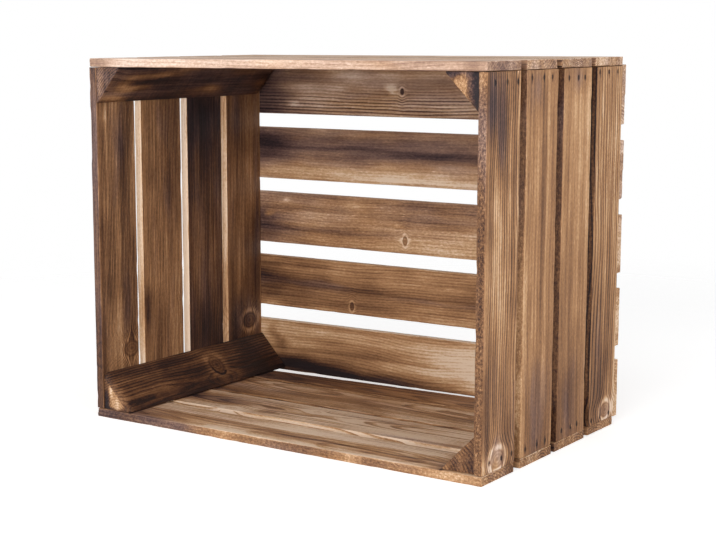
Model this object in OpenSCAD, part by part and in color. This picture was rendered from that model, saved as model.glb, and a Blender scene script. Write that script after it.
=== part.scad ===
// Slatted wooden crate standing on one of its long walls, with its open side to the front (-Y).
// Four walls of boards are nailed to triangular battens in the corners, and five slats close the back.
// X runs along the top and bottom boards, Y from the open front to the back slats, Z up.
// The origin is the centre of the underside. Millimetres.

/* [Crate] */
// Overall width, the length of the top boards, bottom boards and back slats
crate_w = 492; // [432:5:562]
// Overall height
crate_h = 400; // [350:5:460]
// Depth of the four walls, from the open front to the back slats
wall_d = 296; // [270:1:340]

/* [Wall boards] */
// Thickness of the top and bottom boards
long_board_t = 9.5; // [8:0.5:12]
// Thickness of the boards of the two side walls
side_board_t = 9.5; // [8:0.5:12]
// Gap between two boards of a wall, which has four of them
board_gap = 10.7; // [8:0.1:14]
// How much narrower the rearmost bottom board is at its left end
rear_taper = 24; // [0:1:26]

/* [Back slats] */
// Thickness of a back slat
slat_t = 9; // [7:0.5:12]
// Width of a back slat
slat_w = 63.5; // [50:0.5:68]
// Top edge of the highest slat, below the top of the crate
slat_drop = 8.5; // [4:0.5:12]
// Bottom edge of the lowest slat, above the underside of the crate
slat_lift = 7; // [4:0.5:9]
// How much higher the lowest slat is at its right end
slat_skew = 2.6; // [0:0.2:4]

/* [Corner battens] */
// Leg of a batten's triangle along the top or bottom boards
batten_leg_x = 37; // [33:1:45]
// Leg of a batten's triangle along the side boards
batten_leg_z = 39; // [34:1:46]
// Blunt lip left at the two thin edges of a batten
batten_lip = 1.5; // [0.5:0.25:3]
// Distance of a batten's front end behind the open front
batten_setback = 4; // [0:0.5:10]

/* [Nails] */
// Diameter of a nail's shank
nail_d = 1.8; // [1.4:0.1:2.2]
// Diameter of a nail's head
nail_head_d = 3.4; // [2.8:0.1:4.2]
// Thickness of a nail's head
nail_head_t = 0.9; // [0.6:0.1:1.2]
// Length of a nail over its head
nail_l = 25; // [20:1:28]
// Depth of a nail's head below the surface of the wood
nail_sink = 0.8; // [0.2:0.1:1.5]

/* [Hidden] */
WALLS = ["top", "bottom", "left", "right"];
CORNERS = ["top_left", "top_right", "bottom_left", "bottom_right"];
board_count = 4;
slat_count = 5;

$fn = 24;
LEFT = -1;
RIGHT = 1;
DOWN = -1;
UP = 1;
SIDES = [LEFT, RIGHT];
LEVELS = [DOWN, UP];

// Limits of the crate in its own frame
front_y = -(wall_d + slat_t) / 2;
back_y = front_y + wall_d + slat_t;
half_w = crate_w / 2;
inner_x = half_w - side_board_t;
inner_top = crate_h - long_board_t;
inner_bottom = long_board_t;

// Width and even spacing of the boards in the depth of a wall
board_w = (wall_d - (board_count - 1) * board_gap) / board_count;
board_pitch = board_w + board_gap;
// Even spacing of the slats in the height of the back
slat_pitch = (crate_h - slat_drop - slat_lift - slat_w) / (slat_count - 1);

// How far the front and rear edge of each board lie off the even spacing
top_stray = [[0, 0.5], [1, -1.2], [-1.5, 1], [-1, 0]];
bottom_stray = [[0, -1], [1.8, 3.3], [0, 3.7], [3, -1.5]];
left_stray = [[0, -4], [-4, -0.6], [0.7, -1.3], [-1.5, 0]];
right_stray = [[0, 0], [1.5, 2], [4, 2], [3.5, 0]];

// Nails across a side board's end, from the board's middle, for each board of the right wall
side_rows = [[-18, 6, 27], [-23, 2, 20], [-21, 0, 15], [-25, -3, 19]];
// Their distance from the end of the side board
side_insets = [10.5, 8, 10, 6];
// Nails across the end of a top or bottom board, from its middle, and their distance inside the side boards
long_rows = [-14, 12];
long_inset = 12;
// Nails in the end of each slat, from its middle
slat_rows = [[-20, 8], [-18, 17], [-19, 18], [-17, 19], [-8, 20]];
// Nails through the highest and lowest slat into the battens' rear ends, inside the boards
end_inset = [8, 18];

// Size of each corner's batten beside the named one, its front end's setback beside the named one,
// and the bevels on its front and rear ends: top left, top right, bottom left, bottom right
batten_more = [[-4, 0], [0, -1], [1, 2], [0, -1]];
setback_more = [-4, 0, -2.5, 1];
front_bevels = [0, 0, 4, 0];
rear_bevels = [6, 0, 0, 0];
bevel_reach = 80;

// Drilling past a face, so that a nail's hole is open
past = 1;
// Length of a nail's point, in shank diameters
point_share = 1.2;

// Turns that drive a nail from the left, from the right, from below, from above and from behind
FROM_LEFT = [0, 90, 0];
FROM_RIGHT = [0, -90, 0];
FROM_BELOW = [0, 0, 0];
FROM_ABOVE = [180, 0, 0];
FROM_BEHIND = [90, 0, 0];

// Front and rear edge of a wall's board i, counted from 0, measured back from the open front
function edges(stray, i) = [i * board_pitch + stray[i][0], i * board_pitch + board_w + stray[i][1]];
function middle(pair) = (pair[0] + pair[1]) / 2;

function stray_of(level) = level == UP ? top_stray : bottom_stray;
function taper(level, side, i) =
    level == DOWN && side == LEFT && i == board_count - 1 ? rear_taper : 0;
// Edges of a top or bottom board at one of its ends
function long_edges(level, side, i) = edges(stray_of(level), i) - [0, taper(level, side, i)];

function side_stray(side) = side == LEFT ? left_stray : right_stray;
// The left wall has the right wall's nail rows, turned end for end
function side_row(side, i) =
    side == RIGHT ? side_rows[i] : [for (offset = side_rows[board_count - 1 - i]) -offset];

// Slats are counted from the top, from 0. The lowest one is skewed.
function slat_bottom(j) = slat_lift + (slat_count - 1 - j) * slat_pitch;
function slat_rise(side, j) = j == slat_count - 1 ? side * slat_skew / 2 : 0;

function inner_level(level) = level == UP ? inner_top : inner_bottom;
function outer_level(level) = level == UP ? crate_h : 0;
function corner_index(side, level) = (level == UP ? 0 : 2) + (side == LEFT ? 0 : 1);

// Each nail is its place and its turn
function side_nails(side, level, i) = [
    for (offset = side_row(side, i)) [
        [
            side * half_w,
            front_y + middle(edges(side_stray(side), i)) + offset,
            inner_level(level) - level * side_insets[i]
        ],
        side == LEFT ? FROM_LEFT : FROM_RIGHT
    ]
];
function long_nails(side, level, i) = [
    for (offset = long_rows) [
        [
            side * (inner_x - long_inset),
            front_y + middle(long_edges(level, side, i)) + offset,
            outer_level(level)
        ],
        level == UP ? FROM_ABOVE : FROM_BELOW
    ]
];
function slat_edge_nails(side, j) = [
    for (offset = slat_rows[j]) [
        [side * (half_w - side_board_t / 2), back_y, slat_bottom(j) + slat_w / 2 + offset],
        FROM_BEHIND
    ]
];
function slat_end_nails(side, level) = [
    [
        [side * (inner_x - end_inset[0]), back_y, inner_level(level) - level * end_inset[1]],
        FROM_BEHIND
    ]
];
function slat_nails(j) = concat(
    [for (side = SIDES) each slat_edge_nails(side, j)],
    [for (side = SIDES, level = LEVELS) each
        (j == (level == UP ? 0 : slat_count - 1) ? slat_end_nails(side, level) : [])]
);
function batten_nails(side, level) = concat(
    [for (i = [0:board_count - 1]) each side_nails(side, level, i)],
    [for (i = [0:board_count - 1]) each long_nails(side, level, i)],
    slat_end_nails(side, level)
);

module nail() {
    point_l = point_share * nail_d;
    rotate_extrude() polygon([
        [0, nail_sink],
        [nail_head_d / 2, nail_sink],
        [nail_head_d / 2, nail_sink + nail_head_t],
        [nail_d / 2, nail_sink + nail_head_t],
        [nail_d / 2, nail_sink + nail_l - point_l],
        [0, nail_sink + nail_l]
    ]);
}

// What a driven nail takes out of the wood: its own form, and the hole its head was sunk through
module nail_hole() {
    nail();
    translate([0, 0, -past]) cylinder(d = nail_head_d, h = past + nail_sink + nail_head_t / 2);
}

module place(nails) {
    for (one = nails) translate(one[0]) rotate(one[1]) children();
}

module nails(list) {
    color("dimgray") place(list) nail();
}

// A top or bottom board, with its edges given at its left and right end
module long_board(level, i) {
    left = long_edges(level, LEFT, i);
    right = long_edges(level, RIGHT, i);
    color(level == UP ? "burlywood" : "peru") difference() {
        translate([0, front_y, level == UP ? inner_top : 0]) linear_extrude(long_board_t) polygon([
            [-half_w, left[0]],
            [half_w, right[0]],
            [half_w, right[1]],
            [-half_w, left[1]]
        ]);
        for (side = SIDES) place(long_nails(side, level, i)) nail_hole();
    }
}

// A side board stands between the top and bottom boards
module side_board(side, i) {
    span = edges(side_stray(side), i);
    color(side == LEFT ? "saddlebrown" : "sienna") difference() {
        translate([side == LEFT ? -half_w : inner_x, front_y + span[0], inner_bottom])
            cube([side_board_t, span[1] - span[0], inner_top - inner_bottom]);
        for (level = LEVELS) place(side_nails(side, level, i)) nail_hole();
        if (i == board_count - 1)
            for (j = [0:slat_count - 1]) place(slat_edge_nails(side, j)) nail_hole();
    }
}

module back_slat(j) {
    low_left = slat_bottom(j) + slat_rise(LEFT, j);
    low_right = slat_bottom(j) + slat_rise(RIGHT, j);
    color("tan") difference() {
        translate([0, back_y, 0]) rotate(FROM_BEHIND) linear_extrude(slat_t) polygon([
            [-half_w, low_left],
            [half_w, low_right],
            [half_w, low_right + slat_w],
            [-half_w, low_left + slat_w]
        ]);
        place(slat_nails(j)) nail_hole();
    }
}

// Cuts the edge between a batten's sloping face and its end at 45 degrees
module end_bevel(side, level, legs, y, depth) {
    slope = atan2(legs[1], legs[0]);
    if (depth > 0)
        translate([
            side * (inner_x - legs[0] / 2),
            y,
            inner_level(level) - level * legs[1] / 2
        ]) rotate([0, side * level * slope, 0]) rotate([45, 0, 0])
            cube([bevel_reach, depth * sqrt(2), depth * sqrt(2)], center = true);
}

module corner_batten(side, level) {
    k = corner_index(side, level);
    legs = [batten_leg_x, batten_leg_z] + batten_more[k];
    start = front_y + max(0, batten_setback + setback_more[k]);
    end = back_y - slat_t;
    outline = [
        [0, 0],
        [legs[0], 0],
        [legs[0], batten_lip],
        [batten_lip, legs[1]],
        [0, legs[1]]
    ];
    color("brown") difference() {
        translate([side * inner_x, end, inner_level(level)]) rotate(FROM_BEHIND)
            linear_extrude(end - start)
                polygon([for (p = outline) [-side * p[0], -level * p[1]]]);
        end_bevel(side, level, legs, start, front_bevels[k]);
        end_bevel(side, level, legs, end, rear_bevels[k]);
        place(batten_nails(side, level)) nail_hole();
    }
}

for (i = [0:board_count - 1]) {
    long_board(UP, i);
    long_board(DOWN, i);
    side_board(LEFT, i);
    side_board(RIGHT, i);
}
for (j = [0:slat_count - 1])
    back_slat(j);

for (side = SIDES, level = LEVELS)
    corner_batten(side, level);

nails([for (side = SIDES, i = [0:board_count - 1]) each long_nails(side, UP, i)]);  // nails_top
nails([for (side = SIDES, i = [0:board_count - 1]) each long_nails(side, DOWN, i)]);  // nails_bottom
nails([for (level = LEVELS, i = [0:board_count - 1]) each side_nails(LEFT, level, i)]);  // nails_left
nails([for (level = LEVELS, i = [0:board_count - 1]) each side_nails(RIGHT, level, i)]);  // nails_right
nails([for (j = [0:slat_count - 1]) each slat_nails(j)]);  // nails_back
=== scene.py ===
"""A slatted wooden crate, scorched and brushed: the finish of each board, slat, batten and nail.

Lengths in this script are millimetres in the crate's own frame, until a mesh is made from them.
Each piece of wood has its own axes: along its grain, across its width, and through its thickness.
"""

import itertools
import math
from dataclasses import dataclass, field

import bpy
import numpy as np
from mathutils import Matrix, Vector


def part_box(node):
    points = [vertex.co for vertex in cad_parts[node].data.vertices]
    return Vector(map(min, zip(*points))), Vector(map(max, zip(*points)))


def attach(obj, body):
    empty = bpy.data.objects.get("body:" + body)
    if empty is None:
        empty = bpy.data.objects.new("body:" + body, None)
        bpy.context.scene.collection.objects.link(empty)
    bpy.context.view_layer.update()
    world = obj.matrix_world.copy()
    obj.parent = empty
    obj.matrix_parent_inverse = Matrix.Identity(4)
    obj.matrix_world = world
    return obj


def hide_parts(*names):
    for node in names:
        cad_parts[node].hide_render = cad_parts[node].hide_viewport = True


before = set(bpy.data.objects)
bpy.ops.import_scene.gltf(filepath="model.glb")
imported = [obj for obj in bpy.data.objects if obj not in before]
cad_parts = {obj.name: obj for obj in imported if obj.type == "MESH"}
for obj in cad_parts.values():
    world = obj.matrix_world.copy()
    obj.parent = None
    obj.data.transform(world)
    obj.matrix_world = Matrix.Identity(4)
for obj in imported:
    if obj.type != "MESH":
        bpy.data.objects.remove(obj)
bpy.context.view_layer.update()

MM = 0.001
X, Y, Z = 0, 1, 2

# The photograph's frame and the camera that took it
PHOTO_SIZE = (716, 540)
CAMERA_PLACE = (937.2, -1412.9, 425.3)
CAMERA_TURN = (35.84, -9.02, -0.26)
FOCAL_PX = 1558.5
OPTICAL_CENTRE = (292.9, 281.1)
SENSOR_WIDTH = 36

# Rows of a piece's mesh: how far from an edge, and how far apart elsewhere
EDGE_ROWS = (0, 0.35, 0.8, 1.4, 2.2)
ROW_ALONG = 7.0
ROW_ACROSS = 1.25
ROW_THROUGH = 1.3
LEAST_ROW = 0.3

# How far one nail's points spread from each other, flat and along the nail
NAIL_SPREAD = 4
NAIL_REACH = 40

# The dent over a driven nail, the close rows around it, and the dark stain in the wood beside it
NAIL_ROWS = (2.4, 0.6)
DENT_DEPTH = 1.05
DENT_INNER = 1.45
DENT_OUTER = 1.95
STAIN_TOAST = 0.55
STAIN_INNER = 1.2
STAIN_OUTER = 2.6
STAIN_STRETCH = 1.4

# The close rows around a knot, and the rim distance of wood that has no knot
KNOT_ROW = 1.25
KNOT_ROWS = 4
KNOT_REACH = 1.5
NO_KNOT = 9.0

# The dark line of painted contact shade, with some scorch, on a board along the edge of what lies on it, and
# its close rows
SEAM_SHADE_TOAST = 0.6
SEAM_WIDTH = 1.6
SEAM_ROWS = (3.5, 0.7)

# A crack's width, depth and darkness, and the relief of the growth rings
CRACK_INNER = 0.4
CRACK_OUTER = 1.3
CRACK_DEPTH = 0.8
CRACK_TOAST = 0.7
RING_DEPTH = 0.025

# How blunt a batten's two thin edges are
BATTEN_LIP = 1.5

# Faces of a piece: the two ends of its grain, its two edges, and its two broad faces
START, END, LOW, HIGH, UNDER, OVER = range(6)

# How dark a piece is, from bare wood at 0 to char at 1, mostly from scorching and in places from painted
# shade: its colour where it is warm, and where smoke has greyed it
TOAST_STEPS = (0.0, 0.1, 0.2, 0.3, 0.42, 0.52, 0.64, 0.76, 0.88, 1.0)
WARM_TOAST = (
    (241, 215, 188), (223, 186, 149), (203, 160, 118), (181, 135, 94), (157, 114, 77),
    (135, 95, 64), (111, 75, 48), (87, 55, 36), (60, 35, 25), (32, 18, 16),
)
COOL_TOAST = (
    (239, 215, 198), (219, 188, 167), (197, 163, 141), (174, 140, 118), (151, 119, 101),
    (129, 99, 87), (105, 79, 72), (81, 58, 55), (55, 37, 39), (30, 19, 24),
)

# Seeded values for the noise, and the steps that pick one of them for each cell
NOISE_TABLE = np.random.RandomState(11).uniform(-1, 1, 65521)
NOISE_STEPS = (1, 1619, 31337)
NOISE_SEED_STEP = 4243


@dataclass
class Knot:
    """A branch's section: its place along and across the piece, and its size both ways."""
    along: float
    across: float
    half_l: float
    half_w: float
    core: float = 0.2
    halo: float = -0.1
    rim: float = 0.2


@dataclass
class Mark:
    """A soft patch that is darker, or paler where toast is below 0.

    On an end face, along is its place through the piece.
    """
    along: float
    across: float
    half_l: float
    half_w: float
    toast: float
    face: int = -1
    cool: float = 0.0


@dataclass
class Wood:
    """How one piece of wood grew and how it was scorched, with the painted shade and painted highlight laid
    on its colour.
    """
    toast: tuple
    rough: tuple = (1, 1, 0, 0, 0, 0)
    pith: tuple = (10, -60)
    lean: tuple = (0, 0)
    ring_gap: float = 3.0
    lines: float = 0.18
    cool: float = 0.2
    blotch: float = 0.12
    streak: float = 0.08
    fibre: float = 1.0
    mottle: float = 1.0
    wear_and_highlight: float = 0.05
    sawn: float = 0.0
    knots: list = field(default_factory=list)
    marks: list = field(default_factory=list)
    line_marks: list = field(default_factory=list)
    cracks: list = field(default_factory=list)
    seams: tuple = ()
    corner: float = 0.9


def noise(seed, *axes):
    """Smooth noise from -1 to 1, with one lump per unit of each axis."""
    axes = np.broadcast_arrays(*axes)
    cells = [np.floor(a).astype(np.int64) for a in axes]
    blends = [(a - c) ** 2 * (3 - 2 * (a - c)) for a, c in zip(axes, cells)]
    total = 0
    for corner in itertools.product((0, 1), repeat=len(axes)):
        key = seed * NOISE_SEED_STEP
        weight = 1
        for cell, blend, far, step in zip(cells, blends, corner, NOISE_STEPS):
            key = key + (cell + far) * step
            weight = weight * (blend if far else 1 - blend)
        total = total + weight * NOISE_TABLE[key % NOISE_TABLE.size]
    return total


def smooth(value, low, high):
    """0 below low, 1 above high, and a soft step between them."""
    share = np.clip((value - low) / (high - low), 0, 1)
    return share * share * (3 - 2 * share)


def rows(length, step, spots=()):
    """Places from 0 to length: close together at both ends and around each (spot, reach, step)."""
    count = max(2, round(length / step))
    base = np.linspace(0, length, count + 1)
    for spot, reach, _ in spots:
        base = base[np.abs(base - spot) > reach]
    near = [np.arange(-reach, reach + fine / 2, fine) + spot for spot, reach, fine in spots]
    edge = [np.array(EDGE_ROWS), length - np.array(EDGE_ROWS)]
    places = np.sort(np.concatenate([base, *near, *edge]))
    kept = [0.0]
    for place in places[(places > 0) & (places <= length)]:
        if place - kept[-1] > LEAST_ROW:
            kept.append(place)
    kept[-1] = length
    return np.array(kept)


def lattice(counts):
    """The surface points of a box of rows, as three index lists, and the faces between them."""
    grid = np.indices(counts)
    shell = np.zeros(counts, bool)
    for axis in range(3):
        shell |= (grid[axis] == 0) | (grid[axis] == counts[axis] - 1)
    number = np.full(counts, -1)
    number[shell] = np.arange(shell.sum())
    faces = []
    for axis, end in itertools.product(range(3), (0, -1)):
        side = np.take(number, end, axis=axis)
        quads = np.stack([side[:-1, :-1], side[1:, :-1], side[1:, 1:], side[:-1, 1:]], -1)
        quads = quads.reshape(-1, 4)
        faces.append(quads[:, ::-1] if (end == 0) != (axis == 1) else quads)
    return [g[shell] for g in grid], np.concatenate(faces)


def round_edges(section, along, outline, length, radius):
    """Rounds the edges of a prism: returns each point's shift, and its direction from the core."""
    corners = outline.shape[1]
    after = np.roll(outline, -1, axis=1)
    edge = after - outline
    inward = np.stack([-edge[..., 1], edge[..., 0]], -1)
    inward /= np.linalg.norm(inward, axis=-1, keepdims=True)
    previous = np.roll(inward, 1, axis=1)
    spread = 1 + (inward * previous).sum(-1, keepdims=True)
    core = outline + radius[:, None, None] * (inward + previous) / spread
    best = np.full(len(section), np.inf)
    nearest = section.copy()
    inside = np.ones(len(section), bool)
    for k in range(corners):
        a = core[:, k]
        d = core[:, (k + 1) % corners] - a
        inside &= ((section - a) * inward[:, k]).sum(-1) > 0
        share = np.clip(((section - a) * d).sum(-1) / (d * d).sum(-1), 0, 1)
        foot = a + share[:, None] * d
        gap = np.linalg.norm(section - foot, axis=-1)
        closer = gap < best
        best[closer] = gap[closer]
        nearest[closer] = foot[closer]
    nearest[inside] = section[inside]
    core_along = np.clip(along, radius, length - radius)
    away = np.column_stack([along - core_along, section - nearest])
    size = np.linalg.norm(away, axis=1, keepdims=True)
    away = away / np.maximum(size, 1e-6)
    rounded = np.column_stack([core_along, nearest]) + away * radius[:, None]
    return rounded, away


def nail_places(node):
    """The middle of each nail of a node, in millimetres, found by the gaps between the nails."""
    points = np.array([v.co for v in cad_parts[node].data.vertices]) / MM
    through = {"nails_top": Z, "nails_bottom": Z, "nails_back": Y}.get(node, X)
    flat = [axis for axis in (X, Y, Z) if axis != through]
    places = []
    while len(points):
        first = points[0]
        near = np.abs(points[:, flat] - first[flat]).max(axis=1) < NAIL_SPREAD
        near &= np.abs(points[:, through] - first[through]) < NAIL_REACH
        group = points[near]
        places.append((group.min(0) + group.max(0)) / 2)
        points = points[~near]
    return places


def left_handed(axes):
    """Whether the crate's axes in this order are left-handed, so that a mesh's faces turn over."""
    return np.linalg.det(np.eye(3)[list(axes)]) < 0


def end_edges(points, axes):
    """The two edges of a board at its start and at its end, which differ on a tapered board."""
    along, across = points[:, axes[0]], points[:, axes[1]]
    result = []
    for end in (along.min(), along.max()):
        face = across[np.abs(along - end) < 0.2]
        result.append((face.min(), face.max()))
    return np.array(result)


class Board:
    """A board's or slat's form, before its edges are rounded."""

    def __init__(self, node, axes):
        points = np.array([v.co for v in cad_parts[node].data.vertices]) / MM
        self.axes = axes
        self.low = points.min(0)
        self.length, self.width, self.depth = (np.ptp(points, axis=0)[a] for a in axes)
        self.edges = end_edges(points, axes)
        self.limit = self.depth / 2 - 0.6
        self.mirrored = left_handed(axes)

    def edge_places(self, along):
        share = along / self.length
        return [self.edges[0, k] * (1 - share) + self.edges[1, k] * share for k in (0, 1)]

    def row_of(self, along, across):
        """The row of the mesh at a place in the crate's frame."""
        near, far = self.edge_places(along)
        return (across - near) / (far - near) * self.width

    def section(self, along, u, v):
        near, far = self.edge_places(along)
        low = self.low[self.axes[2]]
        return np.column_stack([near + (far - near) * u / self.width, low + v])

    def outline(self, along):
        near, far = self.edge_places(along)
        low = np.full_like(near, self.low[self.axes[2]])
        high = low + self.depth
        corners = [(near, low), (far, low), (far, high), (near, high)]
        return np.stack([np.stack(c, -1) for c in corners], 1)

    def row_sizes(self):
        return self.length, self.width, self.depth


class Batten:
    """A triangular corner batten's form, with its blunt thin edges and its bevelled ends."""

    def __init__(self, node, side, level, bevels):
        self.axes = (Y, X, Z)
        low, high = (np.array(c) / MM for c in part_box(node))
        self.low = low
        self.length = high[Y] - low[Y]
        self.legs = (high[X] - low[X], high[Z] - low[Z])
        self.corner = np.array([high[X] if side > 0 else low[X], high[Z] if level > 0 else low[Z]])
        self.turn = np.array([-side, -level])
        self.bevels = bevels
        self.height = self.legs[0] * self.legs[1] / math.hypot(*self.legs)
        self.width, self.depth = self.legs
        self.limit = 0.95
        self.mirrored = left_handed(self.axes) != (self.turn[0] * self.turn[1] < 0)

    def scale(self, along):
        start = np.maximum(0, self.bevels[0] - along)
        end = np.maximum(0, self.bevels[1] - (self.length - along))
        return (1 - (start + end) / self.height)[:, None]

    def side_curves(self):
        a, b = self.legs
        middle = (a / 2 + BATTEN_LIP / 2, b / 2 + BATTEN_LIP / 2)
        near = [(0, 0), (a, 0)]
        far = [(a, 0), (a, BATTEN_LIP), middle]
        top = [(0, b), (BATTEN_LIP, b), middle]
        left = [(0, 0), (0, b)]
        return near, far, top, left

    def section(self, along, u, v):
        near, far, top, left = self.side_curves()
        u, v = u / self.width, v / self.depth
        curve_near, curve_far = travel(near, u), travel(far, v)
        curve_top, curve_left = travel(top, u), travel(left, v)
        u, v = u[:, None], v[:, None]
        corners = (1 - u) * (1 - v) * np.array(near[0]) + u * (1 - v) * np.array(near[1])
        corners = corners + u * v * np.array(far[-1]) + (1 - u) * v * np.array(left[1])
        flat = (1 - v) * curve_near + v * curve_top + (1 - u) * curve_left + u * curve_far - corners
        return self.corner + self.turn * flat * self.scale(along)

    def outline(self, along):
        a, b = self.legs
        corners = [(0, 0), (a, 0), (a, BATTEN_LIP), (BATTEN_LIP, b), (0, b)]
        if self.turn[0] * self.turn[1] < 0:
            corners = corners[::-1]
        placed = [self.corner + self.turn * np.array(c) * self.scale(along) for c in corners]
        return np.stack(placed, 1)

    def row_of(self, along, across):
        return abs(across - self.corner[0])

    def row_sizes(self):
        return self.length, self.width, self.depth


def travel(points, share):
    """The point at each share of a line's length, from 0 to 1."""
    points = np.array(points, float)
    steps = np.concatenate([[0], np.cumsum(np.linalg.norm(np.diff(points, axis=0), axis=1))])
    return np.column_stack([np.interp(share * steps[-1], steps, points[:, k]) for k in (0, 1)])


def grow(form, wood, seed, along, across, through):
    """The growth rings of a piece: their phase, and how near each point is to a knot's rim."""
    start, side, under = form.low[list(form.axes)]
    a = along - form.length / 2
    w = across - side - form.width / 2
    t = through - under - form.depth / 2
    knot_rim = np.full_like(a, NO_KNOT)
    for knot in wood.knots:
        dl = (along + start - knot.along) / knot.half_l
        dw = (across - knot.across) / knot.half_w
        rim = np.hypot(dl, dw) * (1 + 0.06 * noise(seed + 5, dl * 1.5, dw * 1.5))
        knot_rim = np.minimum(knot_rim, rim)
        bulge = 1.3 * np.exp(-(dl / 1.5) ** 2)
        aside = bulge * np.tanh(dw / np.maximum(bulge, 0.02)) * np.exp(-(dw / 3.2) ** 2)
        w = w - knot.half_w * aside
    pith_w = wood.pith[0] + wood.lean[0] * a / 100 + 4 * noise(seed, a / 130)
    pith_t = wood.pith[1] + wood.lean[1] * a / 100 + 5 * noise(seed + 1, a / 110)
    phase = np.hypot(w - pith_w, t - pith_t) / wood.ring_gap
    phase = phase + 0.42 * noise(seed + 2, a / 75, w / 24) + 0.15 * noise(seed + 3, a / 26, w / 7)
    return phase, knot_rim


def scorch_and_shade(form, wood, seed, along, across, through, weights):
    """How dark each point is, from its face, its soft patches, its streaks and its knots: mostly scorch, with
    a lighter rim that is partly wear and partly painted highlight, and painted contact shade along its seams
    and in some patches.
    """
    place = along + form.low[form.axes[0]]
    toast = weights @ np.array(wood.toast)
    cool = np.full_like(toast, wood.cool)
    broad = weights[:, LOW] + weights[:, HIGH]
    calm = 1 - 0.6 * broad
    toast = toast + calm * wood.blotch * noise(seed + 6, place / 85, across / 32)
    toast = toast + calm * wood.blotch * 0.5 * noise(seed + 7, place / 24, across / 10)
    toast = toast + calm * wood.streak * noise(seed + 8, place / 150, across / 3.2)
    toast = toast + calm * wood.streak * noise(seed + 11, place / 260, across / 9)
    # Lighter rounded edges: partly wear, partly a painted highlight along each rim
    worn_and_lit_rim = 1 - (weights ** 2).sum(1)
    toast = toast - 2 * wood.wear_and_highlight * worn_and_lit_rim * (1 + noise(seed + 12, place / 12, across / 12))
    far_l = place + 14 * noise(seed + 9, place / 40, across / 14)
    far_t = through + 3 * noise(seed + 9, through / 7, across / 7)
    far_w = across + 3.5 * noise(seed + 10, place / 45, across / 16)
    for mark in wood.marks:
        first = far_t if mark.face in (START, END) else far_l
        fall = ((first - mark.along) / mark.half_l) ** 2 + ((far_w - mark.across) / mark.half_w) ** 2
        here = np.exp(-fall) * (weights[:, mark.face] if mark.face >= 0 else 1)
        toast = toast + mark.toast * here
        cool = cool + mark.cool * here
    # Painted contact shade, with some scorch, in a dark line on the OVER face along each seam
    for seam in wood.seams:
        toast = toast + SEAM_SHADE_TOAST * np.exp(-((place - seam) / SEAM_WIDTH) ** 2) * weights[:, OVER]
    for knot in wood.knots:
        dl = (place - knot.along) / knot.half_l
        dw = (across - knot.across) / knot.half_w
        rim = np.hypot(dl, dw)
        toast = toast + knot.core * (1 - smooth(rim, 0.75, 1.1))
        toast = toast + knot.halo * smooth(rim, 0.85, 1.1) * (1 - smooth(rim, 1.25, 1.9))
        toast = toast + knot.rim * np.exp(-((rim - 0.97) / 0.12) ** 2)
    return toast, cool


def crack_depth(wood, place, across):
    """How much of a crack's depth is at each point, from 0 to 1."""
    depth = np.zeros_like(place)
    for crack in wood.cracks:
        for (l0, w0), (l1, w1) in zip(crack, crack[1:]):
            d = np.array([l1 - l0, w1 - w0])
            share = ((place - l0) * d[0] + (across - w0) * d[1]) / (d @ d)
            share = np.clip(share, 0, 1)
            gap = np.hypot(place - l0 - share * d[0], across - w0 - share * d[1])
            depth = np.maximum(depth, 1 - smooth(gap, CRACK_INNER, CRACK_OUTER))
    return depth


def carve(form, wood, seed, place, across, through, weights, phase, knot_rim, dents, outer):
    """How far each point is cut in from its face, in millimetres."""
    ridge = np.abs(phase % 1 - 0.5) * 2
    broad = weights[:, UNDER] + weights[:, OVER]
    edge = weights[:, LOW] + weights[:, HIGH]
    ends = weights[:, START] + weights[:, END]
    depth = 0.06 + 0.1 * (1 + 1.2 * noise(seed + 20, place / 70, across / 26)) * broad
    depth = depth + RING_DEPTH * ridge * broad
    rough = weights @ np.array(wood.rough)
    depth = depth + rough * (0.16 + 0.16 * noise(seed + 21, place / 2.6, across / 1.7, through / 1.7))
    depth = depth + edge * 0.06 * (1 + noise(seed + 22, place / 30, through / 20))
    depth = depth + ends * 0.3 * (1 + noise(seed + 23, across / 5, through / 3))
    depth = depth + 0.18 * broad * np.exp(-((knot_rim - 1) / 0.16) ** 2)
    depth = depth + CRACK_DEPTH * crack_depth(wood, place, across) * broad
    for dent_along, dent_across in dents:
        gap = np.hypot(place - dent_along, across - dent_across)
        hole = 1 - smooth(gap, DENT_INNER, DENT_OUTER)
        depth = np.maximum(depth, DENT_DEPTH * hole * weights[:, outer])
    return depth


def vertex_weights(away):
    """How much each point belongs to each of the six faces, from its direction off the core."""
    share = away ** 2
    weights = np.zeros((len(away), 6))
    for axis, (low, high) in enumerate(((START, END), (LOW, HIGH), (UNDER, OVER))):
        weights[:, low] = share[:, axis] * (away[:, axis] < 0)
        weights[:, high] = share[:, axis] * (away[:, axis] > 0)
    return weights


def spot_rows(form, wood, dents):
    """Where a piece's mesh needs close rows, along it and across it: its nails and knots."""
    start = form.low[form.axes[0]]
    along, across = [], []
    for place, width in dents:
        along.append((place - start, *NAIL_ROWS))
        across.append((form.row_of(place - start, width), *NAIL_ROWS))
    for knot in wood.knots:
        fine_l, fine_w = (min(KNOT_ROW, half / KNOT_ROWS) for half in (knot.half_l, knot.half_w))
        middle = form.row_of(knot.along - start, knot.across)
        along.append((knot.along - start, knot.half_l * KNOT_REACH, fine_l))
        across.append((middle, knot.half_w * KNOT_REACH, fine_w))
    along.extend((seam - start, *SEAM_ROWS) for seam in wood.seams)
    return along, across


def edge_radius(form, wood, seed, along, section, outline):
    """The uneven radius of the edge that is nearest to each point, larger where it is chipped."""
    corner = np.linalg.norm(outline - section[:, None], axis=2).argmin(1)
    chip = smooth(noise(seed + 30, along / 15, corner * 3.7), 0.35, 0.8)
    radius = wood.corner * (1 + 0.45 * noise(seed + 31, along / 22, corner * 5.3)) + 1.3 * chip
    return np.clip(radius, 0.3, form.limit)


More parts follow.
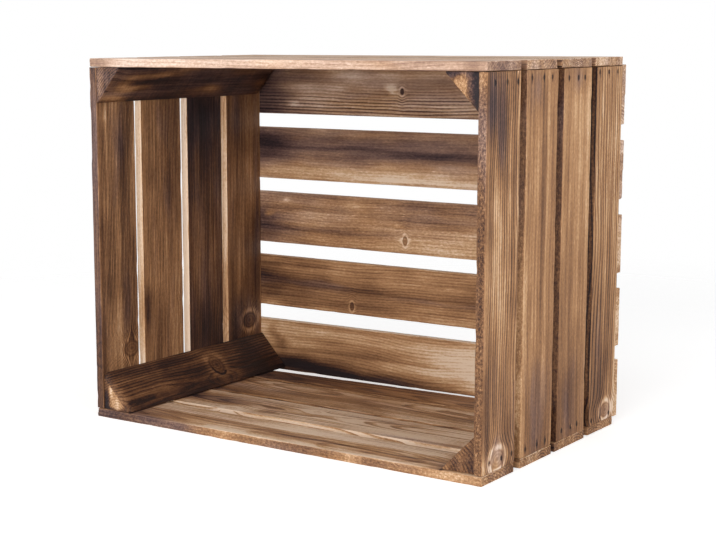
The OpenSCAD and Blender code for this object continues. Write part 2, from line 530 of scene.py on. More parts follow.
def stain(toast, wood, place, across, weights, dents, outer):
    """Darkens the wood around its nails and in its cracks."""
    for dent_along, dent_across in dents:
        gap = np.hypot((place - dent_along) / STAIN_STRETCH, across - dent_across)
        toast = toast + STAIN_TOAST * (1 - smooth(gap, STAIN_INNER, STAIN_OUTER)) * weights[:, outer]
    return toast + CRACK_TOAST * crack_depth(wood, place, across)


def line_strength(wood, place, across):
    """How strongly the late wood's dark lines show at each point."""
    lines = wood.lines * np.ones_like(place)
    for mark in wood.line_marks:
        fall = ((place - mark.along) / mark.half_l) ** 2 + ((across - mark.across) / mark.half_w) ** 2
        lines = lines + mark.toast * np.exp(-fall)
    return np.maximum(lines, 0)


def add_piece(node, points, faces, material):
    """Makes the object that stands for one node of the frame."""
    mesh = bpy.data.meshes.new(node)
    mesh.from_pydata((points * MM).tolist(), [], faces.tolist())
    mesh.shade_smooth()
    piece = bpy.data.objects.new(f"wood_{node}", mesh)
    bpy.context.scene.collection.objects.link(piece)
    mesh.materials.append(material)
    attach(piece, "root")
    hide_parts(node)
    return mesh


def piece_of_wood(node, form, wood, seed, material, dents=(), outer=OVER):
    """Makes the mesh that stands for one wooden piece, and the values that its material reads."""
    length, width, depth = form.row_sizes()
    along_spots, across_spots = spot_rows(form, wood, dents)
    rows_l = rows(length, ROW_ALONG, along_spots)
    rows_w = rows(width, ROW_ACROSS, across_spots)
    rows_t = rows(depth, ROW_THROUGH)
    (i, j, k), faces = lattice((len(rows_l), len(rows_w), len(rows_t)))
    along = rows_l[i]
    section = form.section(along, rows_w[j], rows_t[k])
    outline = form.outline(along)
    radius = edge_radius(form, wood, seed, along, section, outline)
    rounded, away = round_edges(section, along, outline, length, radius)
    weights = vertex_weights(away)
    across, through = section[:, 0], section[:, 1]
    place = along + form.low[form.axes[0]]
    phase, knot_rim = grow(form, wood, seed, along, across, through)
    toast, cool = scorch_and_shade(form, wood, seed, along, across, through, weights)
    cut = carve(form, wood, seed, place, across, through, weights, phase, knot_rim, dents, outer)
    toast = stain(toast, wood, place, across, weights, dents, outer)
    lines = line_strength(wood, place, across)
    shaped = rounded - away * cut[:, None]
    shaped[:, 0] += form.low[form.axes[0]]
    points = np.empty_like(shaped)
    points[:, list(form.axes)] = shaped
    if form.mirrored:
        faces = faces[:, ::-1]
    mesh = add_piece(node, points, faces, material)
    grain = np.column_stack([place, across, through]) + seed * 37.0
    rough = weights @ np.array(wood.rough)
    write_vectors(mesh, "grain", grain)
    write_vectors(mesh, "figure", np.column_stack([phase, lines, knot_rim]))
    write_vectors(mesh, "tone", np.column_stack([toast, cool, rough]))
    finish = np.ones((len(points), 1)) * (wood.fibre, wood.mottle, wood.sawn)
    write_vectors(mesh, "finish", finish)


def write_vectors(mesh, name, values):
    attribute = mesh.attributes.new(name, "FLOAT_VECTOR", "POINT")
    attribute.data.foreach_set("vector", values.astype(np.float32).ravel())


def linear(colour):
    """A colour of 0 to 255, as shown on a screen, in the linear values that a shader takes."""
    shares = [c / 255 for c in colour]
    values = [s / 12.92 if s <= 0.04045 else ((s + 0.055) / 1.055) ** 2.4 for s in shares]
    return (*values, 1.0)


class Graph:
    """Short names for the nodes of a material."""

    def __init__(self, name):
        self.material = bpy.data.materials.new(name)
        self.material.use_nodes = True
        self.nodes = self.material.node_tree.nodes
        self.links = self.material.node_tree.links
        self.shader = self.nodes["Principled BSDF"]

    def add(self, kind, inputs, output=0, **settings):
        node = self.nodes.new(kind)
        for name, value in settings.items():
            setattr(node, name, value)
        for key, value in inputs.items():
            if isinstance(value, bpy.types.NodeSocket):
                self.links.new(value, node.inputs[key])
            else:
                node.inputs[key].default_value = value
        return node.outputs[output]

    def math(self, operation, first, second=0.0):
        return self.add("ShaderNodeMath", {0: first, 1: second}, operation=operation)

    def plus(self, *terms):
        total = terms[0]
        for term in terms[1:]:
            total = self.math("ADD", total, term)
        return total

    def times(self, first, second):
        return self.math("MULTIPLY", first, second)

    def smooth(self, value, low, high, start=0.0, stop=1.0):
        inputs = {"Value": value, "From Min": low, "From Max": high, "To Min": start, "To Max": stop}
        return self.add("ShaderNodeMapRange", inputs, interpolation_type="SMOOTHSTEP")

    def mix(self, factor, first, second):
        node = self.nodes.new("ShaderNodeMix")
        node.data_type = "RGBA"
        for key, value in (("Factor", factor), (6, first), (7, second)):
            self.links.new(value, node.inputs[key])
        return node.outputs[2]

    def attribute(self, name):
        vector = self.add("ShaderNodeAttribute", {}, output="Vector", attribute_name=name)
        split = self.nodes.new("ShaderNodeSeparateXYZ")
        self.links.new(vector, split.inputs[0])
        return vector, split.outputs

    def noise(self, place, lumps, detail=2.0, roughness=0.5):
        """Noise around 0 with this many lumps per millimetre along, across and through the grain."""
        scaled = self.add("ShaderNodeVectorMath", {0: place, 1: lumps}, operation="MULTIPLY")
        inputs = {"Vector": scaled, "Scale": 1.0, "Detail": detail, "Roughness": roughness}
        return self.math("SUBTRACT", self.add("ShaderNodeTexNoise", inputs), 0.5)

    def ramp(self, value, stops):
        node = self.nodes.new("ShaderNodeValToRGB")
        self.links.new(value, node.inputs[0])
        points = node.color_ramp.elements
        points[0].position, points[0].color = stops[0]
        points[1].position, points[1].color = stops[-1]
        for position, colour in stops[1:-1]:
            points.new(position).color = colour
        return node.outputs[0]


# Where in a ring, from 0 to 1, its dark late wood starts
LINE_START = 0.4


def wood_material(name):
    """Scorched softwood: dark late wood in lines, fibres, pores, and speckles where it is sawn."""
    g = Graph(name)
    grain, _ = g.attribute("grain")
    _, (phase, lines, knot_rim) = g.attribute("figure")
    _, (toast, cool, rough) = g.attribute("tone")
    _, (fibrous, mottled, sawn) = g.attribute("finish")
    warp = g.noise(grain, (0.02, 0.3, 0.3), 3.0)
    ring = g.math("FRACT", g.plus(phase, g.times(warp, 0.4)))
    line = g.times(g.smooth(ring, LINE_START, 0.9), g.smooth(ring, 0.93, 1.0, 1.0, 0.0))
    fibre = g.times(g.noise(grain, (0.012, 0.5, 0.5), 6.0, 0.8), fibrous)
    hair = g.noise(grain, (0.03, 1.1, 1.1), 2.0, 0.6)
    band = g.noise(grain, (0.006, 0.16, 0.16), 3.0, 0.55)
    pebble = g.times(g.noise(grain, (0.25, 0.5, 0.5), 4.0, 0.75), mottled)
    fleck = g.times(g.smooth(g.noise(grain, (0.1, 0.9, 0.9), 1.0), 0.14, 0.24), mottled)
    pore = g.times(g.smooth(hair, 0.12, 0.22), fibrous)
    speck = g.noise(grain, (0.3, 0.42, 0.42), 5.0, 0.8)
    saw = g.times(g.noise(grain, (0.4, 0.03, 0.03), 3.0, 0.7), sawn)
    knot = g.smooth(knot_rim, 0.86, 1.0, 1.0, 0.0)
    knot_ring = g.plus(g.math("PINGPONG", g.times(knot_rim, 3.0), 0.5), g.smooth(knot_rim, 0, 0.25, 0.8, 0.0))
    wavering = g.plus(1.0, g.times(band, 1.6), g.times(pebble, 1.2))
    ring_part = g.times(g.times(g.times(line, lines), wavering), g.smooth(knot_rim, 0.85, 1.1))
    total = g.plus(
        toast,
        ring_part,
        g.times(lines, -0.28),
        g.times(fibre, 0.55),
        g.times(band, 0.22),
        g.times(pebble, 0.36),
        g.times(fleck, -0.1),
        g.times(pore, 0.12),
        g.times(saw, 0.9),
        g.times(g.times(speck, rough), 1.5),
        g.times(g.times(knot_ring, knot), 0.22),
    )
    warm = g.ramp(total, toast_stops(WARM_TOAST))
    grey = g.ramp(total, toast_stops(COOL_TOAST))
    smoke = g.plus(cool, g.times(g.noise(grain, (0.012, 0.06, 0.06), 2.0), 1.5))
    colour = g.mix(g.smooth(smoke, 0.0, 1.0), warm, grey)
    g.links.new(colour, g.shader.inputs["Base Color"])
    height = g.plus(
        g.times(line, g.times(lines, 2.0)),
        g.times(fibre, 1.6),
        g.times(pebble, 0.8),
        g.times(pore, -0.5),
        g.times(saw, -1.2),
        g.times(g.times(speck, rough), 2.4),
    )
    bump = {"Height": height, "Strength": 0.8, "Distance": 0.3 * MM}
    g.links.new(g.add("ShaderNodeBump", bump), g.shader.inputs["Normal"])
    gloss = g.plus(0.62, g.times(fibre, 0.35), g.times(line, -0.08))
    g.links.new(gloss, g.shader.inputs["Roughness"])
    g.shader.inputs["Specular IOR Level"].default_value = 0.3
    return g.material


def toast_stops(colours):
    return [(step, linear(colour)) for step, colour in zip(TOAST_STEPS, colours)]


def nail_material():
    """Old dull steel, browned by the scorching."""
    g = Graph("dull_steel")
    place = g.add("ShaderNodeTexCoord", {}, output="Object")
    patch = g.add("ShaderNodeTexNoise", {"Vector": place, "Scale": 900.0, "Detail": 3.0})
    stops = [(0.3, linear((48, 42, 40))), (0.55, linear((78, 70, 66))), (0.75, linear((96, 66, 48)))]
    g.links.new(g.ramp(patch, stops), g.shader.inputs["Base Color"])
    g.links.new(g.smooth(patch, 0.3, 0.7, 0.4, 0.75), g.shader.inputs["Roughness"])
    g.shader.inputs["Metallic"].default_value = 0.8
    return g.material


TOP = [
    Wood(
        toast=(0.36, 0.46, 0.15, 0.3, 0.5, 0.13), rough=(1, 1, 0.3, 0, 0, 0), pith=(12, -45), lines=0.1,
        blotch=0.07, cool=0.8, fibre=0.7,
        marks=[
            Mark(205, -152, 80, 40, 0.08, LOW), Mark(-240, -152, 24, 40, 0.28, LOW),
            Mark(236, -152, 10, 40, 0.16, LOW), Mark(236, -148, 18, 12, 0.35, OVER),
        ],
    ),
    Wood(toast=(0.3, 0.34, 0.5, 0.3, 0.5, 0.14), pith=(-14, 50), ring_gap=3.4, blotch=0.08, cool=0.5),
    Wood(toast=(0.34, 0.37, 0.5, 0.3, 0.5, 0.16), pith=(2, -13), ring_gap=2.0, lines=0.42, cool=0.5),
    Wood(toast=(0.28, 0.25, 0.5, 0.35, 0.5, 0.14), pith=(-50, 40), ring_gap=2.4, cool=0.5),
]
BOTTOM = [
    Wood(
        toast=(0.4, 0.46, 0.46, 0.25, 0.4, 0.18), rough=(1, 1, 0.8, 0, 0, 0.15), pith=(-20, -38),
        lines=0.2, cool=0.2, fibre=1.3, seams=(-198.5, 199.5), line_marks=[Mark(0, -152.5, 400, 5, -0.2)],
        marks=[
            Mark(95, -127, 110, 2.4, 0.5, OVER), Mark(-175, -135, 45, 16, 0.34, OVER, 0.4),
            Mark(-215, -150, 60, 30, 0.24, LOW, 0.6), Mark(215, -150, 40, 9, -0.28, LOW, -0.3),
            Mark(-95, -120, 60, 6, 0.16, OVER), Mark(20, -104, 120, 6, -0.12, OVER),
            Mark(-66, -152, 16, 20, -0.16, LOW), Mark(-126, -152, 18, 20, 0.12, LOW, 0.5),
            Mark(30, -152, 30, 20, 0.12, LOW, 0.4), Mark(92, -152, 16, 20, -0.14, LOW),
            Mark(132, -152, 12, 20, 0.12, LOW), Mark(-180, -148, 60, 5, 0.2, OVER, 0.5),
            Mark(150, -139, 90, 4, 0.2, OVER), Mark(-40, -148, 150, 6, -0.12, OVER),
            # Mark(-205, ...) is painted shade, with some scorch, beside the bottom-left batten's foot
            Mark(-205, -120, 12, 60, 0.3, OVER, 0.3), Mark(196, -130, 12, 30, 0.3, OVER, 0.6),
        ],
    ),
    Wood(
        toast=(0.35, 0.45, 0.1, 0.4, 0.4, 0.1), pith=(4, -22), lean=(4, 3), lines=0.32, cool=0.1,
        fibre=1.3, blotch=0.16,
        seams=(-198.5, 199.5),
        knots=[Knot(-122, -67, 9, 6, 0.1, -0.36, 0.16), Knot(-33, -29, 9, 6, 0.06, -0.34, 0.14)],
        marks=[
            Mark(112, -58, 50, 8, -0.3, OVER, -0.5), Mark(8, -43, 38, 8, -0.24, OVER, -0.3),
            Mark(-33, -29, 18, 13, -0.12, OVER), Mark(-122, -66, 20, 10, -0.1, OVER),
            Mark(-165, -40, 40, 14, 0.4, OVER, 0.8), Mark(-82, -58, 16, 8, 0.26, OVER, 0.5),
            Mark(45, -22, 60, 6, 0.24, OVER, 0.5), Mark(110, -69, 70, 5, 0.3, OVER, 0.7),
            Mark(-40, -66, 60, 4, -0.14, OVER), Mark(236, -76, 14, 40, 0.5, LOW),
            # Mark(-205, ...) is painted shade, with some scorch, beside the bottom-left batten's foot
            Mark(-205, -50, 14, 60, 0.4, OVER, 0.3), Mark(60, -46, 40, 3, 0.2, OVER),
        ],
    ),
    Wood(
        toast=(0.35, 0.45, 0.42, 0.4, 0.4, 0.21), pith=(20, -30), lean=(-3, 2), lines=0.28, cool=0.1,
        fibre=1.3, blotch=0.16,
        seams=(-198.5, 199.5),
        marks=[
            Mark(-180, 20, 60, 40, 0.24, OVER, 0.3), Mark(70, 12, 90, 8, -0.12, OVER),
            Mark(-20, 32, 120, 6, 0.16, OVER), Mark(150, 35, 60, 8, 0.2, OVER, 0.4),
            # Mark(-205, ...) is painted shade, with some scorch, beside the bottom-left batten's foot
            Mark(236, 0, 14, 40, 0.5, LOW), Mark(-205, 30, 14, 60, 0.3, OVER),
        ],
    ),
    Wood(
        toast=(0.35, 0.45, 0.42, 0.4, 0.4, 0.44), pith=(-14, -40), lines=0.24, cool=0.2,
        fibre=1.2,
        seams=(-198.5, 199.5),
        marks=[
            Mark(-170, 100, 90, 50, 0.26, OVER, 0.3), Mark(-110, 88, 12, 2.5, -0.34, OVER),
            Mark(-60, 98, 40, 3, -0.2, OVER), Mark(140, 110, 90, 20, 0.1, OVER, 0.4),
            Mark(60, 90, 90, 5, -0.12, OVER),
        ],
    ),
]
LEFT = [
    Wood(
        toast=(0.5, 0.5, 0.68, 0.04, 0.36, 0.52), rough=(1, 1, 0.35, 0, 0, 0), pith=(60, 12), ring_gap=2.4,
        knots=[Knot(71, -103, 9, 13, 0.12, -0.12, 0.2)], lines=0.46, cool=-0.1, streak=0.14, fibre=1.6,
        corner=0.5, wear_and_highlight=0.2, line_marks=[Mark(200, -152.5, 400, 6, -0.4)],
        marks=[
            Mark(300, -118, 50, 12, 0.24, OVER, 0.6), Mark(336, -139, 13, 5, -0.24, OVER),
            Mark(122, -107, 40, 9, 0.2, OVER, 0.4), Mark(300, -152, 160, 30, -0.04, LOW, 1.0),
            Mark(60, -152, 90, 30, 0.04, LOW, 0.4), Mark(200, -146, 220, 3, 0.08, OVER),
            Mark(150, -140, 22, 9, 0.12, OVER, 0.3), Mark(230, -95, 110, 5, -0.06, OVER, -0.2),
        ],
    ),
    Wood(
        toast=(0.5, 0.5, 0.02, 0.06, 0.36, 0.5), pith=(-70, 10), ring_gap=2.6, lines=0.4, cool=-0.05,
        fibre=1.5, corner=0.35, line_marks=[Mark(200, -79.8, 400, 7, -0.5)],
        marks=[
            Mark(105, -74, 26, 6, 0.4, OVER, 0.4), Mark(325, -35, 30, 30, 0.06, OVER, 0.3),
            Mark(90, -50, 60, 12, 0.12, OVER, 0.2), Mark(110, -76, 30, 12, 0.16, LOW),
            Mark(230, -30, 60, 9, 0.1, OVER, 0.3),
        ],
    ),
    Wood(
        toast=(0.5, 0.5, -0.08, 0.06, 0.36, 0.62), pith=(65, -12), ring_gap=2.8, lines=0.34, cool=0.2,
        fibre=1.5, corner=0.35, line_marks=[Mark(200, 1.5, 400, 7, -0.5)],
        marks=[
            Mark(325, 37, 50, 50, 0.38, OVER, 0.6), Mark(60, 30, 50, 50, 0.36, OVER, 0.2),
            Mark(288, 20, 18, 9, -0.12, OVER, -0.2), Mark(330, 0, 40, 20, 0.08, LOW),
        ],
    ),
    Wood(
        toast=(0.5, 0.5, 0.08, 0.06, 0.36, 0.5), pith=(-60, 14), ring_gap=2.8, lines=0.36, cool=0.0,
        knots=[Knot(70, 119, 10, 13, 0.1, -0.3, 0.16)], fibre=1.5, corner=0.35,
        line_marks=[Mark(200, 76, 400, 6, -0.3)],
        marks=[
            Mark(325, 92, 50, 20, 0.26, OVER, 0.4), Mark(60, 96, 44, 30, 0.3, OVER, 0.4),
            Mark(180, 104, 90, 9, -0.16, OVER, -0.2), Mark(300, 138, 60, 6, -0.06, OVER),
            Mark(190, 136, 170, 6, 0.2, OVER, 0.4), Mark(100, 76, 60, 12, 0.2, LOW),
            Mark(350, 76, 40, 12, 0.2, LOW, 0.3),
        ],
    ),
]
# On right boards 2 to 4, the dark low edges seen in the gaps are partly scorch and partly painted shade of
# the narrow gaps
RIGHT = [
    Wood(
        toast=(0.4, 0.4, 0.5, 0.8, 0.6, 0.41), rough=(1, 1, 1.3, 0, 0, 0.1), pith=(75, -52), ring_gap=3.4,
        knots=[Knot(21, -122, 9.5, 14, -0.08, -0.36, 0.06)], lines=0.36, blotch=0.14, streak=0.14,
        cool=-0.1, line_marks=[Mark(200, -152.5, 400, 6, -0.4)],
        marks=[
            Mark(318, -120, 30, 7, 0.12, OVER, 0.5),
            Mark(21, -122, 14, 20, -0.02, OVER, 0.9), Mark(210, -152, 60, 8, 0.14, LOW),
            Mark(358, -134, 40, 20, 0.32, OVER, 0.8), Mark(85, -128, 60, 24, 0.2, OVER, 0.3),
            Mark(387, -90, 2.5, 2.5, -0.5, OVER), Mark(12, -146, 12, 8, -0.22, OVER, -0.3),
            Mark(130, -152, 130, 8, 0.06, LOW), Mark(385, -152, 12, 8, -0.2, LOW),
            Mark(330, -152, 60, 8, 0.0, LOW, 0.7), Mark(220, -128, 130, 7, -0.12, OVER),
        ],
    ),
    Wood(
        toast=(0.4, 0.4, 0.6, 0.8, 0.6, 0.39), rough=(1, 1, 0.7, 0, 0, 0), pith=(64, -18), ring_gap=6.0,
        lines=0.1, blotch=0.1, cool=-0.2, streak=0.09, fibre=0.6, mottle=1.3,
        marks=[
            Mark(50, -40, 55, 28, 0.2, OVER, 0.6), Mark(378, -50, 26, 24, 0.14, OVER, 0.6),
            Mark(200, -36, 140, 5, 0.12, OVER), Mark(330, -76, 90, 9, 0.16, LOW, 0.6),
            Mark(90, -76, 140, 6, -0.26, LOW),
        ],
    ),
    Wood(
        toast=(0.4, 0.4, 0.68, 0.8, 0.6, 0.37), rough=(1, 1, 0.7, 0, 0, 0), pith=(-80, -20), ring_gap=6.5,
        lines=0.08, blotch=0.1, cool=-0.2, streak=0.08, fibre=0.5, mottle=1.3,
        marks=[
            Mark(52, 36, 60, 32, 0.22, OVER, 0.6), Mark(382, 36, 18, 30, 0.12, OVER, 0.5),
            Mark(26, 40, 1.6, 1.6, -0.4, OVER), Mark(220, 30, 160, 4, 0.1, OVER),
            Mark(330, 0, 90, 9, 0.14, LOW, 0.6), Mark(150, 0, 60, 4, -0.1, LOW),
        ],
    ),
    Wood(
        toast=(0.4, 0.4, 0.74, 0.4, 0.6, 0.39), rough=(1, 1, 0.7, 0, 0, 0), pith=(-70, -56), ring_gap=4.2,
        lines=0.36, blotch=0.1, cool=-0.15, streak=0.12,
        knots=[Knot(21, 121, 8.5, 12, -0.06, -0.36, 0.04)],
        marks=[
            Mark(21, 121, 14, 18, -0.02, OVER, 0.8),
            Mark(72, 98, 56, 24, 0.22, OVER, 0.4), Mark(250, 138, 170, 7, -0.1, OVER),
            Mark(325, 100, 60, 3, -0.26, OVER), Mark(20, 142, 24, 9, -0.16, OVER, 0.3),
        ],
    ),
]
SLATS = [
    Wood(
        toast=(0.24, 0.17, 0.4, 0.3, 0.22, 0.36), pith=(-70, -20), ring_gap=3.6, lines=0.04, cool=0.6,
        knots=[Knot(-29, 358, 2.8, 4, 0.5, -0.2, 0.1)], fibre=0.9,
        marks=[
            Mark(-240, 345, 46, 60, 0.6, UNDER, 0.4), Mark(-43, 361, 8, 5, -0.5, UNDER, -0.5),
            Mark(-192, 339, 9, 4, -0.4, UNDER), Mark(-60, 386, 160, 8, 0.14, UNDER),
            Mark(-170, 375, 40, 8, 0.16, UNDER), Mark(30, 362, 70, 10, 0.12, UNDER),
            Mark(-110, 372, 30, 5, -0.12, UNDER),
        ],
        line_marks=[Mark(0, 339, 400, 17, 0.5)],
    ),
    Wood(
        toast=(0.24, 0.17, 0.3, 0.24, 0.4, 0.36), pith=(60, -30), ring_gap=3.4, lines=0.06, cool=0.7,
        fibre=0.8, mottle=1.2,
        marks=[
            Mark(-228, 292, 42, 18, 0.6, UNDER, 0.5), Mark(-120, 289, 90, 3.5, 0.3, UNDER, 0.3),
            Mark(20, 282, 90, 4.5, 0.36, UNDER, 0.3), Mark(-90, 257, 220, 11, -0.3, UNDER, -0.9),
            Mark(-215, 305, 3, 2.5, -0.4, UNDER), Mark(-150, 300, 50, 5, 0.1, UNDER),
            Mark(0, 304, 160, 6, 0.08, UNDER),
            Mark(-90, 268, 60, 2, -0.14, UNDER),
        ],
    ),
    Wood(
        toast=(0.24, 0.17, 0.3, 0.24, 0.37, 0.36), pith=(-62, -26), ring_gap=3.4, lines=0.09, cool=0.4,
        knots=[Knot(-23.6, 183, 3.2, 5.5, 0.16, -0.22, 0.3)], fibre=0.9, mottle=1.5,
        marks=[
            Mark(-232, 196, 40, 26, 0.34, UNDER, 0.4), Mark(-217, 205, 6, 5, -0.36, UNDER, -0.8),
            Mark(30, 178, 90, 12, -0.18, UNDER, -0.6), Mark(-150, 186, 90, 3, 0.2, UNDER),
            Mark(-33, 226, 9, 2, -0.2, UNDER), Mark(-186, 220, 5, 3, -0.3, UNDER),
            Mark(-40, 200, 8, 3, -0.2, UNDER, -0.4), Mark(40, 208, 80, 5, 0.12, UNDER),
            Mark(-110, 176, 60, 8, -0.1, UNDER, -0.5), Mark(0, 224, 240, 8, 0.14, UNDER),
        ],
    ),
    Wood(
        toast=(0.24, 0.17, 0.3, 0.24, 0.38, 0.36), pith=(60, -20), ring_gap=3.4, lines=0.13, cool=-0.2,
        knots=[Knot(-98.6, 97, 3.0, 5.2, 0.14, -0.24, 0.3)], fibre=1.0,
        marks=[
            Mark(-228, 122, 60, 24, 0.44, UNDER, 0.5), Mark(40, 93, 90, 12, -0.14, UNDER, -0.2),
            Mark(-120, 118, 80, 6, 0.16, UNDER, 0.3), Mark(20, 112, 100, 5, 0.12, UNDER, 0.6),
            Mark(-215, 92, 20, 7, -0.2, UNDER), Mark(60, 132, 100, 3, 0.12, UNDER),
        ],
    ),
    Wood(
        toast=(0.24, 0.17, 0.3, 0.0, 0.19, 0.36), pith=(-44, -20), ring_gap=3.4, lines=0.12, cool=-0.5,
        blotch=0.08, fibre=0.8, wear_and_highlight=0.1,
        marks=[
            Mark(-190, 15, 60, 13, 0.8, UNDER, 0.8), Mark(-115, 11, 60, 10, 0.7, UNDER, 0.8),
            Mark(-30, 6, 60, 9, 0.5, UNDER, 0.8), Mark(70, 4, 50, 6, 0.4, UNDER, 0.8),
            Mark(80, 44, 80, 20, -0.26, UNDER, -0.5), Mark(-95, 40, 60, 12, 0.16, UNDER, -0.4),
            Mark(-213, 44, 9, 16, 0.3, UNDER, 0.3), Mark(-150, 30, 60, 6, 0.14, UNDER),
            Mark(-90, 68, 110, 3, 0.14, UNDER, 0.3), Mark(-170, 56, 50, 8, -0.06, UNDER),
            Mark(20, 70, 60, 2.5, 0.14, UNDER, 0.6), Mark(52, 26, 16, 6, 0.14, UNDER, 0.6),
        ],
    ),
]
BATTENS = {
    "top_left": Wood(
        toast=(0.9, 0.5, 0.72, 0.88, 0.86, 0.89), rough=(0.5, 1, 0, 0.1, 0, 0.1), pith=(60, -60),
        ring_gap=2.8, lines=0.34, corner=0.6, cool=0.5, blotch=0.16, wear_and_highlight=0.04, sawn=0.35,
        line_marks=[Mark(20, -218, 150, 60, -0.34)],
        marks=[
            Mark(-128, -230, 16, 5, -0.5, -1, -1.0), Mark(-98, -222, 16, 3, -0.36, -1, -0.8),
            Mark(-80, -209, 34, 3, -0.36, -1, -0.8), Mark(-20, -204, 60, 3, -0.34, -1, -0.7),
            Mark(-112, -216, 12, 5, -0.3, -1, -0.8), Mark(33, -226, 16, 5, -0.34, -1, -0.7),
            Mark(-10, -218, 90, 8, 0.06, -1, 0.2), Mark(146, -220, 3, 30, -0.4, -1, -0.6),
            Mark(136, -226, 8, 20, -0.14, -1, -0.5), Mark(-36, -232, 20, 4, 0.14),
            Mark(372, -230, 16, 4, -0.14, START, 0.3),
        ],
    ),
    "top_right": Wood(
        toast=(0.42, 0.5, 0.5, 0.6, 0.55, 0.66), pith=(-30, 20), ring_gap=4.0, corner=0.6, cool=0.0,
        lines=0.05, fibre=0.5, mottle=1.4,
        marks=[
            Mark(372, 232, 50, 11, 0.6, START, 0.8), Mark(388, 206, 6, 9, 0.34, START, 0.6),
            Mark(380, 214, 7, 5, -0.2, START, -0.6), Mark(366, 222, 5, 5, -0.06, START),
            # Mark(390, ...) is a line of painted shade under the top board, along the top of the front end
            Mark(390, 220, 4, 30, 0.2, START, 0.6),
        ],
    ),
    "bottom_left": Wood(
        toast=(0.5, 0.5, 0.72, 0.84, 0.66, 0.84), rough=(0.4, 1, 0, 0, 0, 0), pith=(-2, -25), ring_gap=2.8,
        lines=0.3, corner=0.9, cool=-0.3, wear_and_highlight=0.05, blotch=0.14, fibre=1.5, sawn=0.1,
        line_marks=[Mark(0, -201, 200, 9, -0.2), Mark(-151, -218, 4, 60, -0.14)],
        knots=[Knot(27, -217, 12, 9, -0.06, -0.2, 0.06)],
        cracks=[[(17, -215), (19, -211), (25, -208), (31, -207.6), (36, -209.5)]],
        marks=[
            Mark(118, -218, 46, 30, 0.18, -1, 0.6), Mark(-30, -222, 60, 20, 0.08),
            Mark(-90, -214, 50, 8, -0.12), Mark(45, -203, 26, 4, -0.2), Mark(-20, -212, 16, 9, 0.12),
            Mark(-55, -230, 60, 5, 0.12, -1, 0.4), Mark(16, -229, 22, 5, -0.16),
            Mark(30, -227.5, 9, 3, -0.4, START, -0.5), Mark(16, -235, 18, 5, 0.5, START, 0.9),
            # Mark(9.5, ...) on the front end is a line of painted contact shade along the batten's foot
            Mark(14, -218, 8, 7, -0.16, START, 0.6), Mark(9.5, -218, 2.5, 40, 0.5, START, 0.4),
            # Mark(0, -200, ...) is painted contact shade along the batten's thin lower lip
            Mark(-142, -216, 9, 14, -0.22), Mark(0, -200, 300, 3, 0.2, -1, 0.3),
        ],
    ),
    "bottom_right": Wood(
        toast=(0.58, 0.5, 0.6, 0.6, 0.6, 0.6), rough=(0.7, 1, 0, 0, 0, 0), pith=(-24, -30), ring_gap=3.4,
        corner=0.6, cool=0.0, blotch=0.16,
        marks=[Mark(20, 232, 14, 6, 0.16, START), Mark(24, 216, 7, 4, -0.12, START)],
    ),
}

# The bevels on the front and rear end of a batten, where it has them
BEVELS = {"top_left": (0, 6), "bottom_left": (4, 0)}

# For each wall: its list, its axes along, across and through, its outer face and its seeds
WALLS = (
    ("top", TOP, (X, Y, Z), OVER, 100),
    ("bottom", BOTTOM, (X, Y, Z), UNDER, 200),
    ("left", LEFT, (Z, Y, X), UNDER, 300),
    ("right", RIGHT, (Z, Y, X), OVER, 400),
)

# The seeds of the first slat and batten, and the step from one piece to the next
SLAT_SEED = 500
BATTEN_SEED = 600
SEED_STEP = 40


def own_dents(node, axes, nails):
    """The nails that are driven into one board's outer face, as places along and across it."""
    low, high = (np.array(c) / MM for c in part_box(node))
    flat = list(axes[:2])
    inside = [n for n in nails if np.all(n[flat] > low[flat]) and np.all(n[flat] < high[flat])]
    return [(n[axes[0]], n[axes[1]]) for n in inside]


def make_boards():
    for wall, woods, axes, outer, seed in WALLS:
        material = wood_material(f"{wall}_boards")
        nails = nail_places(f"nails_{wall}")
        for i, wood in enumerate(woods):
            node = f"{wall}_board_{i + 1}"
            dents = own_dents(node, axes, nails)
            form = Board(node, axes)
            piece_of_wood(
                node, form, wood, seed + SEED_STEP * i, material, dents, outer
            )


def make_slats():
    material = wood_material("back_slats")
    nails = nail_places("nails_back")
    axes = (X, Z, Y)
    for j, wood in enumerate(SLATS):
        node = f"back_slat_{j + 1}"
        dents = own_dents(node, axes, nails)
        seed = SLAT_SEED + SEED_STEP * j
        piece_of_wood(node, Board(node, axes), wood, seed, material, dents, OVER)


def make_battens():
    material = wood_material("corner_battens")
    for k, (corner, wood) in enumerate(BATTENS.items()):
        level = 1 if corner.startswith("top") else -1
        side = -1 if corner.endswith("left") else 1
        node = f"corner_batten_{corner}"
        form = Batten(node, side, level, BEVELS.get(corner, (0, 0)))
        seed = BATTEN_SEED + SEED_STEP * k
        piece_of_wood(node, form, wood, seed, material)


def finish_nails():
    material = nail_material()
    for name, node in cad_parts.items():
        if name.startswith("nails_"):
            node.data.materials.clear()
            node.data.materials.append(material)


# The floor's size in metres, its tone and glow, and the distances between which it fades away
FLOOR_SIZE = 8.0
FLOOR_TONE = 0.9
FLOOR_GLOW = 0.5
FADE_START = 0.5
FADE_END = 1.5


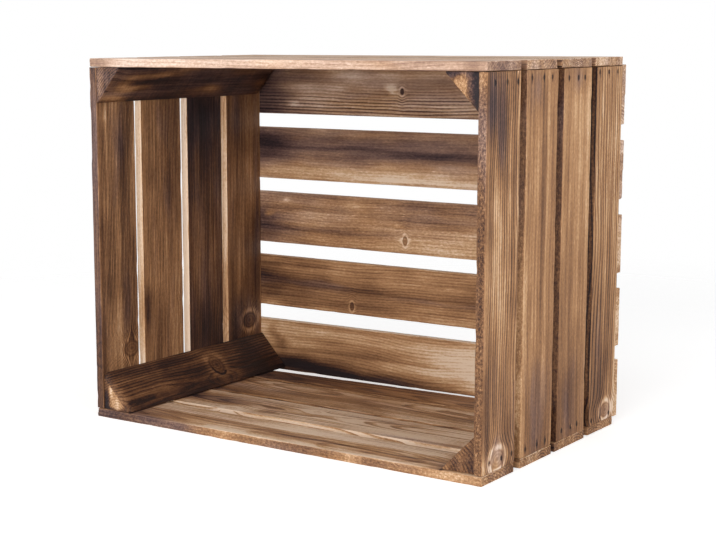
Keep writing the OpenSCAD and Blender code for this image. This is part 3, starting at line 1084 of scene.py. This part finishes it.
def make_floor():
    """A white floor that keeps the crate's shadow and fades into the white background."""
    bpy.ops.mesh.primitive_plane_add(size=FLOOR_SIZE, location=(0, 0, 0))
    floor = bpy.context.object
    floor.name = "studio_floor"
    g = Graph("studio_floor")
    g.shader.inputs["Base Color"].default_value = (FLOOR_TONE, FLOOR_TONE, FLOOR_TONE, 1)
    g.shader.inputs["Roughness"].default_value = 0.9
    g.shader.inputs["Specular IOR Level"].default_value = 0.0
    g.shader.inputs["Emission Color"].default_value = (1, 1, 1, 1)
    seen = g.add("ShaderNodeLightPath", {}, output="Is Camera Ray")
    g.links.new(g.times(seen, FLOOR_GLOW), g.shader.inputs["Emission Strength"])
    place = g.add("ShaderNodeTexCoord", {}, output="Object")
    distance = g.add("ShaderNodeVectorMath", {0: place}, output="Value", operation="LENGTH")
    far = g.smooth(distance, FADE_START, FADE_END)
    clear = g.nodes.new("ShaderNodeBsdfTransparent")
    blend = g.nodes.new("ShaderNodeMixShader")
    g.links.new(g.times(far, seen), blend.inputs[0])
    g.links.new(g.shader.outputs[0], blend.inputs[1])
    g.links.new(clear.outputs[0], blend.inputs[2])
    g.links.new(blend.outputs[0], g.nodes["Material Output"].inputs["Surface"])
    floor.data.materials.append(g.material)


def add_area_light(name, place, target, size, power):
    light = bpy.data.lights.new(name, "AREA")
    light.shape = "SQUARE"
    light.size = size
    light.energy = power
    lamp = bpy.data.objects.new(name, light)
    lamp.location = place
    lamp.rotation_euler = (Vector(target) - Vector(place)).to_track_quat("-Z", "Y").to_euler()
    bpy.context.scene.collection.objects.link(lamp)


# The place, in metres, that the lamps face
CRATE_MIDDLE = (0, 0, 0.2)

# Each lamp's name, its place and size in metres, and its power in watts
LAMPS = (
    ("front_light", (0.5, -2.3, 0.8), 1.5, 31.5),
    ("side_light", (2.1, -0.7, 1.0), 1.4, 23),
    ("left_light", (-2.0, -1.2, 0.8), 1.2, 16),
)

# How strongly the white surroundings light the crate
WORLD_LEVEL = 0.36


def make_light():
    for name, place, size, power in LAMPS:
        add_area_light(name, place, CRATE_MIDDLE, size, power)
    world = bpy.data.worlds.new("white_studio")
    world.use_nodes = True
    bpy.context.scene.world = world
    nodes, links = world.node_tree.nodes, world.node_tree.links
    path = nodes.new("ShaderNodeLightPath")
    seen = nodes.new("ShaderNodeMath")
    seen.operation = "MAXIMUM"
    links.new(path.outputs["Is Camera Ray"], seen.inputs[0])
    links.new(path.outputs["Is Glossy Ray"], seen.inputs[1])
    level = nodes.new("ShaderNodeMapRange")
    level.inputs["To Min"].default_value = WORLD_LEVEL
    level.inputs["To Max"].default_value = 1.0
    links.new(seen.outputs[0], level.inputs["Value"])
    links.new(level.outputs[0], nodes["Background"].inputs["Strength"])
    nodes["Background"].inputs["Color"].default_value = (1, 1, 1, 1)


def make_camera():
    camera = bpy.data.cameras.new("camera")
    camera.sensor_width = SENSOR_WIDTH
    camera.lens = FOCAL_PX / PHOTO_SIZE[0] * SENSOR_WIDTH
    camera.shift_x = (PHOTO_SIZE[0] / 2 - OPTICAL_CENTRE[0]) / PHOTO_SIZE[0]
    camera.shift_y = (OPTICAL_CENTRE[1] - PHOTO_SIZE[1] / 2) / PHOTO_SIZE[0]
    holder = bpy.data.objects.new("camera", camera)
    yaw, pitch, roll = (math.radians(a) for a in CAMERA_TURN)
    level = math.pi / 2
    tilt = Matrix.Rotation(level + pitch, 4, "X") @ Matrix.Rotation(roll, 4, "Z")
    turn = Matrix.Rotation(yaw, 4, "Z") @ tilt
    holder.matrix_world = Matrix.Translation(Vector(CAMERA_PLACE) * MM) @ turn
    bpy.context.scene.collection.objects.link(holder)
    bpy.context.scene.camera = holder


make_camera()
make_boards()
make_slats()
make_battens()
finish_nails()
make_floor()
make_light()
bpy.context.scene.view_settings.view_transform = "Standard"
